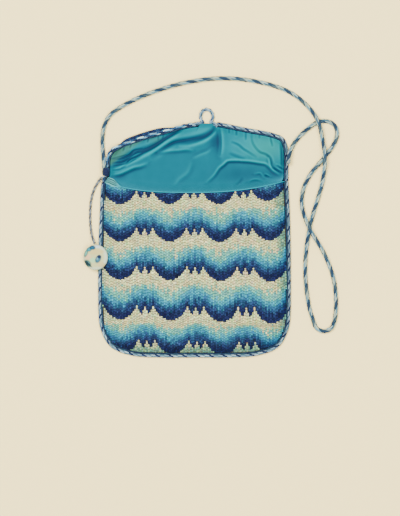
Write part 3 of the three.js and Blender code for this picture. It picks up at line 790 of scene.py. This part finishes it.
def canvas_gap_shade(plan):
    """Canvas that shows between the stitches, dyed a dark hue of the wools over it: painted shade in the
    gaps.
    """
    y = plan[..., 1]
    x = fan(plan[..., 0], y, out=False)
    faded = faded_at((x - VALLEY_X) / COLUMN - 0.5, chart_step(x, y))[..., None]
    blue = mix(CANVAS_NAVY_SHADE, CANVAS_TEAL_SHADE, ease(faded, *CANVAS_FADE))
    return np.where(faded < BLUES, blue, CANVAS_CREAM_SHADE)


def add_stitches(name, border, surface, facing, stations, section):
    """Satin stitches that lie on a surface, as rounded strips of stations by section points."""
    GAP_AT_ENDS = 0.13
    HALF_WIDTH, WIDTH_VARIES, RISE_VARIES = 0.53, 0.05, 0.15  # the half width is a share of the column
    END_POWER, END_WIDTH = 3, 0.45  # how bluntly a stitch ends, and the share of its width there
    DARK_TONE, TONE, TINT = 0.26, 0.14, 0.07  # how uneven the dark wools, the others and their hues are
    x, low, high, wool = flame_stitches(border)
    count = len(x)
    t = np.asarray(stations)[None, :, None]
    turn = np.linspace(np.pi, 0, section)[None, None, :]
    full = 1 - np.abs(2 * t - 1) ** END_POWER
    half = HALF_WIDTH * COLUMN * (1 + WIDTH_VARIES * normal(count))[:, None, None]
    rise = STITCH_RISE * (1 - RISE_VARIES * chance.random(count))[:, None, None]
    px = x[:, None, None] + half * mix(END_WIDTH, 1, full) * np.cos(turn)
    low, high = (low + GAP_AT_ENDS)[:, None, None], (high - GAP_AT_ENDS)[:, None, None]
    py = mix(low, high, t) + 0 * px
    px = fan(px, py)
    pz = surface(px, py) + facing * rise * np.sqrt(full) * np.sin(turn)
    points = np.stack([px, py, pz], axis=-1)
    uneven = np.where(wool < DARK_WOOLS, DARK_TONE, TONE)[:, None]
    tone = np.exp(uneven * normal((count, 1))) + TINT * normal((count, 3))
    # Painted shade where the pillow rounds down to its seam, less of it on the left.
    seam_shade = ease(outward(px, py), SEAM_SHADE_FROM, 1) * mix(LEFT_SEAM_SHADE, 1, ease(px, *LEFT_SEAM_SHADE_X))
    dye = (np.array(WOOLS)[wool] * tone)[:, None, None] * (1 - seam_shade[..., None] * (1 - np.array(PAINTED_SEAM_SHADE)))
    faces = grid_faces(count, len(stations), section)
    faces = faces if facing > 0 else faces[:, ::-1]
    return add_piece(name, points, faces, dye, WOOL, "needlework")


def around(edges, count=160):
    """The four edges of a patch as one closed border."""
    left, right, bottom, top = (edge(shares(count)) for edge in edges)
    return np.concatenate([bottom, right, top[::-1], left[::-1]])


# Stitched front of the pocket, on its canvas.
OVER_SEAM = 0.25  # how far the front reaches over its seam
front_edges = pocket_edges(SEAM - OVER_SEAM, past_mouth=0)
plan = patch(front_edges, across=shares(131), up=shares(121))
under = front_under(plan[..., 0], plan[..., 1])
front = add_piece(
    "front_canvas", *closed_sheet(plan, under, under + CANVAS - STITCH_RISE), canvas_gap_shade(plan), CANVAS_CLOTH,
    "needlework", "front_panel",
)
front_stitches = add_stitches(
    "front_stitches", around(front_edges), lambda x, y: front_under(x, y) + CANVAS - STITCH_RISE, facing=1,
    stations=(0, 0.12, 0.5, 0.88, 1), section=4,
)


def back_seam(at):
    tab = tab_at(at)
    return SEAM - ALLOWANCE * (1 - tab / TAB_REACH) - (ROLL_OUT - ALLOWANCE) * roll_at(at) - tab


# Back and flap in one sheet, stitched on its outer face, which lies on the surface.
back_edges = whole_edges(back_seam)
plan = patch(back_edges, across=shares(81), up=shares(101))
flat = np.ones(plan.shape[:2])
back = add_piece(
    "back_canvas", *closed_sheet(plan, STITCH_RISE * flat, CANVAS * flat), CANVAS_NAVY_SHADE, CANVAS_CLOTH,
    "needlework", "back_panel",
)
back_stitches = add_stitches(
    "back_stitches", around(back_edges), lambda x, y: STITCH_RISE + 0 * x, facing=-1,
    stations=(0, 0.5, 1), section=3,
)

# Stitches that roll over the edge at the left of the flap.
PAST_CORNER, LEAST_ROLL = 0.06, 0.1  # shares of the outline and of the roll
ROLL_RADIUS, ROLL_SIDES = 0.62, 6
ROLL_PROFILE = [(5.2, 1.5), (1.6, 1.85), (0.5, 1.6), (-0.15, 1), (-0.45, 0.4)]  # in from the rim, and height
rolled = np.arange(PEAK_LEFT, LEFT_CORNER + PAST_CORNER, COLUMN / OUTLINE_LENGTH)
rolled = rolled[roll_at(inset(rolled, even(0))) > LEAST_ROLL]
paths = []
for inside, height in ROLL_PROFILE:
    plan = inset(rolled, lambda at: SEAM + (inside - ROLL_OUT) * roll_at(at))
    paths.append(np.insert(plan, 2, height, axis=1))
rings = tubes(np.stack(paths, axis=1), ROLL_RADIUS, ROLL_SIDES)
roll_dye = np.array(WOOLS)[chance.integers(0, DARK_WOOLS, len(rolled))]
roll = add_piece("rolled_edge", *joined([(rings, roll_dye[:, None, None])]), WOOL, "needlework")


def from_route(points, plan):
    """Distance of plan points from a route, whether they lie on its right, and how full a fold is there."""
    route = through(points, per_span=10)
    way = unit(np.gradient(route, axis=0))
    full = np.sqrt(np.sin(np.pi * (np.arange(len(route)) + 1) / (len(route) + 1)))
    away = plan[:, None] - route[None]
    nearest = size_of(away).argmin(axis=1)
    away = away[np.arange(len(plan)), nearest]
    right = way[nearest, 1] * away[:, 0] - way[nearest, 0] * away[:, 1] > 0
    return size_of(away), right, full[nearest]


def folded(plan):
    """How far the folds lift the silk over a grid of plan points, and the light and shade painted on it:
    lighter on crests, darker in creases and beside steep sides.
    """
    BROAD, BROAD_POWER, CREASE_POWER = 2.2, 1.3, 1.5  # the gentle side of a ridge, and a crease
    SHADOW_AT, GLINT_AT, HALF = 1.7, 2.2, 0.9  # where the painted shadow beside a ridge and the painted glint beside a crease lie, in widths of it
    # Strength of the painted glint on the shoulders of a crease.
    GLINT = 0.3
    flat = plan.reshape(-1, 2)
    lift, tone = np.zeros(len(flat)), np.zeros(len(flat))
    for height, width, points in RIDGES:
        far, right, full = from_route(points, flat)
        far, full = far / width, height * full
        lift += full * np.where(right, bell(far), np.exp(-((far / BROAD) ** BROAD_POWER)))
        # Painted light on the crest of a ridge, and painted shadow beside its steep side.
        tone += full / RIDGE_FULL_SHADING * (bell(far) - right * bell(far, SHADOW_AT, HALF))
    for depth, width, points in CREASES:
        far, _, full = from_route(points, flat)
        far, full = far / width, depth * full
        lift -= full * np.exp(-(far**CREASE_POWER))
        # Painted shade in a crease, with a painted glint on its shoulders.
        tone -= full / CREASE_FULL_SHADING * (bell(far) - GLINT * bell(far, GLINT_AT, HALF))
    return lift.reshape(plan.shape[:2]), tone.reshape(plan.shape[:2])


def looseness(plan, across, up):
    """Share of its loft that the silk has: none along its seams and in the pocket."""
    SEWN, ABOVE_MOUTH = 0.04, (1, 7)
    above = plan[..., 1] - mouth_y(plan[..., 0])
    sides = ease(np.minimum(across, 1 - across), 0, SEWN)[None, :]
    top = ease(1 - up, 0, SEWN)[:, None]
    return sides * top * ease(above, *ABOVE_MOUTH)


def spot(plan, middle, half, amount):
    """An amount at a place that falls off smoothly over its half size."""
    return amount * np.exp(-(((plan - middle) / half) ** 2).sum(axis=-1))


# Silk inside the back and over the flap. Few of its rows lie in the pocket, where it is flat.
ROWS_IN_POCKET, HEIGHT_IN_POCKET = 0.15, 0.68
NARROWING = (MOUTH_RIGHT[1] - 6, MOUTH_RIGHT[1] + 3)
FLAP_SEAM = SEAM - 0.1


def lining_seam(at):
    seam = mix(POCKET_SEAM, FLAP_SEAM, ease(at[..., 1], *NARROWING))
    return seam + GAP * roll_at(at) - tab_at(at)


across, row = shares(261), shares(161)
up = np.interp(row, [0, ROWS_IN_POCKET, 1], [0, HEIGHT_IN_POCKET, 1])
plan = patch(whole_edges(lining_seam), across, up)
x, y = plan[..., 0], plan[..., 1]
lift, tone = folded(plan)
low = CANVAS + GAP + np.maximum(0, LOFT + lift) * looseness(plan, across, up)
# Painted light and shade of the silk, from its folds and its patches, between -1 and 1.
tone = np.clip(tone + sum(spot(plan, *shade) for shade in SILK_PAINTED_PATCHES), -1, 1)
greener = GREEN_SHARE * ease(y - GREEN_SLOPE * x - GREEN_ABOVE, *GREEN_EDGE)
silk = mix(SILK_MID, SILK_GREEN, np.maximum(greener, spot(plan, *GREEN_PATCH))[..., None])
# Painted highlight on the ridges and in the lighter patches.
silk = mix(silk, SILK_PAINTED_LIGHT, np.maximum(0, tone)[..., None])
silk = mix(silk, SILK_PALE_GREEN, spot(plan, *GREEN_SIDE)[..., None])
# Painted shade in the creases, beside steep sides and in the darker patches.
silk = mix(silk, SILK_PAINTED_SHADE, np.maximum(0, -tone)[..., None])
# Painted light along the mouth, which lifts the shade cast by the front of the pocket.
silk = mix(silk, SILK_MOUTH_LIGHT, bell(y, mouth_y(x), MOUTH_LIGHT_REACH)[..., None])
flap_lining = add_piece(
    "flap_lining", *closed_sheet(plan, low, low + SILK), silk, SILK_CLOTH, "silk_lining", "back_lining"
)

# Silk inside the front.
plan = patch(pocket_edges(POCKET_SEAM, past_mouth=LINING_GAP), across=shares(61), up=shares(41))
high = front_under(plan[..., 0], np.minimum(plan[..., 1], mouth_y(plan[..., 0]))) - LINING_GAP
pocket_lining = add_piece(
    "pocket_lining", *closed_sheet(plan, high - SILK, high), SILK_MID, SILK_CLOTH, "silk_lining",
    "front_lining",
)

# Its hem over the edge of the canvas at the mouth, which widens to a grooved lip at the left.
HEM_POINTS, HEM_SIDES = 241, 80
PAST_LEFT, PAST_RIGHT = 1.2, 0.8  # how far it runs past the front
HEM_OVER = 0.15  # how far it stands above the canvas
HEM_POWER = 0.6  # of its section, where 1 would be an ellipse
HEM_TIP, HEM_FILL = 0.1, 60  # share of its full section at its ends, and how fast it fills up
LIP_NARROWS, NARROWS_FROM = 0.6, -59.5
LIP_FALL = 0.5
# Grooves of the lip: half width, depth, how dark the painted shade in them is, and over which share of the
# lip they come in.
GROOVE_HALF, GROOVE_DEPTH, GROOVE_SHADE, GROOVED = 0.15, 0.5, 0.85, (0.2, 0.8)
x = np.linspace(front_edges[0](1.0)[0] - PAST_LEFT, front_edges[1](1.0)[0] + PAST_RIGHT, HEM_POINTS)
canvas_at = front_under(x, mouth_y(x))
lip = ease(x, LIP_FROM, LIP_FULL)
width = HEM_WIDTH + LIP_WIDTH * lip * (1 - LIP_NARROWS * ease(x, NARROWS_FROM, LIP_END))
lowest = CANVAS + GAP + SILK
top, bottom = canvas_at + CANVAS + HEM_OVER, np.maximum(canvas_at - LINING_GAP - SILK, lowest)
turn = full_turn(HEM_SIDES)
over, up = signed_power(np.cos(turn), HEM_POWER), signed_power(np.sin(turn), HEM_POWER)
from_end = np.minimum(shares(HEM_POINTS), 1 - shares(HEM_POINTS))
taper = np.minimum(1, HEM_TIP + HEM_FILL * from_end)[:, None]
groove = sum(bell(over, at, GROOVE_HALF) for at in LIP_GROOVES) * (up > 0)
groove = groove * ease(lip, *GROOVED)[:, None]
droop = LIP_DROOP * bell(x, *LIP_DROOP_X)
hem_y = (mouth_y(x) - droop)[:, None] + taper * (width + droop)[:, None] * (over + 1) / 2
hem_z = ((top + bottom) / 2)[:, None] + taper * ((top - bottom) / 2)[:, None] * up - GROOVE_DEPTH * groove
hem_z = np.maximum(hem_z - LIP_FALL * lip[:, None] * (over + 1) / 2, lowest)
hem_points = np.stack(np.broadcast_arrays(x[:, None], hem_y, hem_z), axis=-1)
hem_dye = mix(HEM_COLOUR, LIP_COLOUR, lip[:, None, None])
# Painted shade in the grooves of the lip.
hem_dye = hem_dye * (1 - np.minimum(GROOVE_SHADE, groove))[..., None]
hem = add_piece(
    "mouth_hem", hem_points, grid_faces(1, HEM_POINTS, HEM_SIDES, wrap=True)[:, ::-1], hem_dye, SILK_CLOTH,
    "silk_lining",
)


def edge_route(start, end, distance_at, height, step=1.0):
    """A route along the outline, which rises where the flap's edge does."""
    count = round(abs(end - start) * OUTLINE_LENGTH / step)
    share = mix(start, end, shares(count))
    rise = (CANVAS + GAP) * rise_at(inset(share, even(0)))
    return np.insert(inset(share, distance_at), 2, height + rise, axis=1)


def cord_in(at):
    return ROLL_CORD_IN * roll_at(at)


# Cord round the edge, the dark thread along its seam, and the tail of the binding.
EDGES = {
    "body_edging": (MOUTH_LEFT_AT, 1 + MOUTH_RIGHT_AT),
    "flap_edging_right": (MOUTH_RIGHT_AT, PEAK_RIGHT),
    "flap_edging_left": (PEAK_LEFT, MOUTH_LEFT_AT),
}
for node, ends in EDGES.items():
    route = edge_route(*ends, lambda at: cord_in(at) - EDGING_OUT, EDGING_CORD / 2 + EDGING_LIFT)
    plies, more = EDGING_PLIES, {"grooves": EDGING_GROOVES, "shade": EDGING_SHADE}
    if node == "flap_edging_left":
        plies, more = ROLLED_PLIES, {}
    twisted(node + "_cord", [route], EDGING_CORD, EDGING_TURN, plies, node, **more)
# The dark thread along the seam is partly a real thread and partly painted shade between the edging cord and
# the panel.
seams = [edge_route(*ends, lambda at: cord_in(at) + SEAM_IN, SEAM_HEIGHT) for ends in EDGES.values()]
SEAM_PLIES = [[SEAM_BLUE, NAVY, SEAM_TEAL], [NAVY, SEAM_TEAL, SEAM_BLUE]]
twisted("seam_thread", seams, SEAM_THREAD, SEAM_TURN, SEAM_PLIES)
TAIL_START, TAIL_END = MOUTH_LEFT_AT - 0.006, MOUTH_LEFT_AT + 0.022  # as shares of the outline
TAIL_IN, TAIL_HEIGHT, TAIL_CORD, TAIL_TURN = 0.3, 2.4, 1.7, 4
TAIL_PLIES = [[NAVY, SEAM_BLUE, DEEP_BLUE], [SEAM_TEAL, NAVY, SEAM_BLUE]]
tail = edge_route(TAIL_START, TAIL_END, even(TAIL_IN), TAIL_HEIGHT)
twisted("binding_tail", [tail], TAIL_CORD, TAIL_TURN, TAIL_PLIES)

# Loop at the peak of the flap, with a tail on each side.
LOOP_POINTS, LOOP_HEIGHT = 17, LOOP_CORD / 2 + FLOOR_CLEAR
turns = np.radians(np.linspace(-LOOP_FOOT, 180 + LOOP_FOOT, LOOP_POINTS))
circle = [(LOOP_X + LOOP_ACROSS * math.cos(a), LOOP_Y + LOOP_UP * math.sin(a), LOOP_HEIGHT) for a in turns]
RIGHT_TAIL = [(16.2, 74.5, 3.4), (14.6, 75.6, 3.1), (12.8, 76.8, 2.4)]
LEFT_TAIL = [(3.6, 76.7, 2.4), (0.8, 75.9, 3.4), (-1.6, 75.4, 3.8)]
loop_route = through(RIGHT_TAIL + circle + LEFT_TAIL, per_span=8)
twisted("loop_cord", [loop_route], LOOP_CORD, LOOP_TURN, LOOP_PLIES, "button_loop")


def wound(middle, half, ends, turns, yarn):
    """Points of a yarn wound round a bundle that runs along y, thinner at its ends."""
    STEPS_PER_TURN, SIDES, END_SHARE = 20, 6, 0.8
    turn = 2 * np.pi * np.linspace(0, turns, STEPS_PER_TURN * turns + 1)[:, None]
    out = np.concatenate([np.cos(turn), 0 * turn, np.sin(turn)], axis=1)
    up = np.array([0.0, 1.0, 0.0])
    barrel = mix(END_SHARE, 1, np.sin(np.pi * turn / turn[-1]))
    line = np.array([middle[0], 0, middle[1]]) + barrel * out * [half[0], 0, half[1]]
    line = line + np.linspace(*ends, len(turn))[:, None] * up
    ring = full_turn(SIDES)[None, :, None]
    return (line[:, None] + yarn / 2 * (np.cos(ring) * out[:, None] + np.sin(ring) * up))[None]


# Yarn wound round the end of the carrying cord at the left corner: dark, then pale below.
COIL_DYES, DYE_STEPS = [NAVY, SEAM_BLUE, DEEP_BLUE], 7
dark_coils = wound(middle=(-61.8, 3.8), half=(2.2, 2.9), ends=(39.9, 45.4), turns=5, yarn=1.4)
pale_coils = wound(middle=(-63.4, 3.7), half=(2.1, 3), ends=(39.4, 37.8), turns=1, yarn=0.7)
dark_dye = np.array(COIL_DYES)[np.arange(dark_coils.shape[1]) // DYE_STEPS % len(COIL_DYES)]
parts = [(dark_coils, dark_dye[:, None]), (pale_coils, LILAC)]
add_piece("corner_binding", *joined(parts), CORD_YARN, "twisted_cord")

# Pale floor and soft studio light.
FLOOR_HALF, FLOOR_HEIGHT, WORLD_LIGHT = 3000, -0.2, 0.9
FLOOR_CORNERS = [(-1, -1, 0), (1, -1, 0), (1, 1, 0), (-1, 1, 0)]
floor_points = FLOOR_HALF * np.array(FLOOR_CORNERS) + FLOOR_HEIGHT * UP
paper = cloth("plain_floor", (2, 2, 2), depth=0.02, roughness=0.9, sheen=0, specular=0.1, mottle=0.01)
dyed_object("floor", floor_points, np.array([[0, 1, 2, 3]]), FLOOR_COLOUR, paper)


def add_light(name, place, size, power):
    """A square soft light that faces the purse."""
    light = add_object(name, bpy.data.lights.new(name, "AREA"))
    light.data.size = size * MM
    light.data.energy = power
    light.location = np.multiply(place, MM)
    light.rotation_euler = (-light.location).to_track_quat("-Z", "Y").to_euler()


add_light("key_light", place=(-450, 400, 1500), size=700, power=50)
add_light("fill_light", place=(500, -350, 1500), size=800, power=29)
world = bpy.data.worlds.new("studio")
world.use_nodes = True
around_it = world.node_tree.nodes["Background"].inputs
around_it["Color"].default_value = (1, 1, 1, 1)
around_it["Strength"].default_value = WORLD_LIGHT
bpy.context.scene.world = world
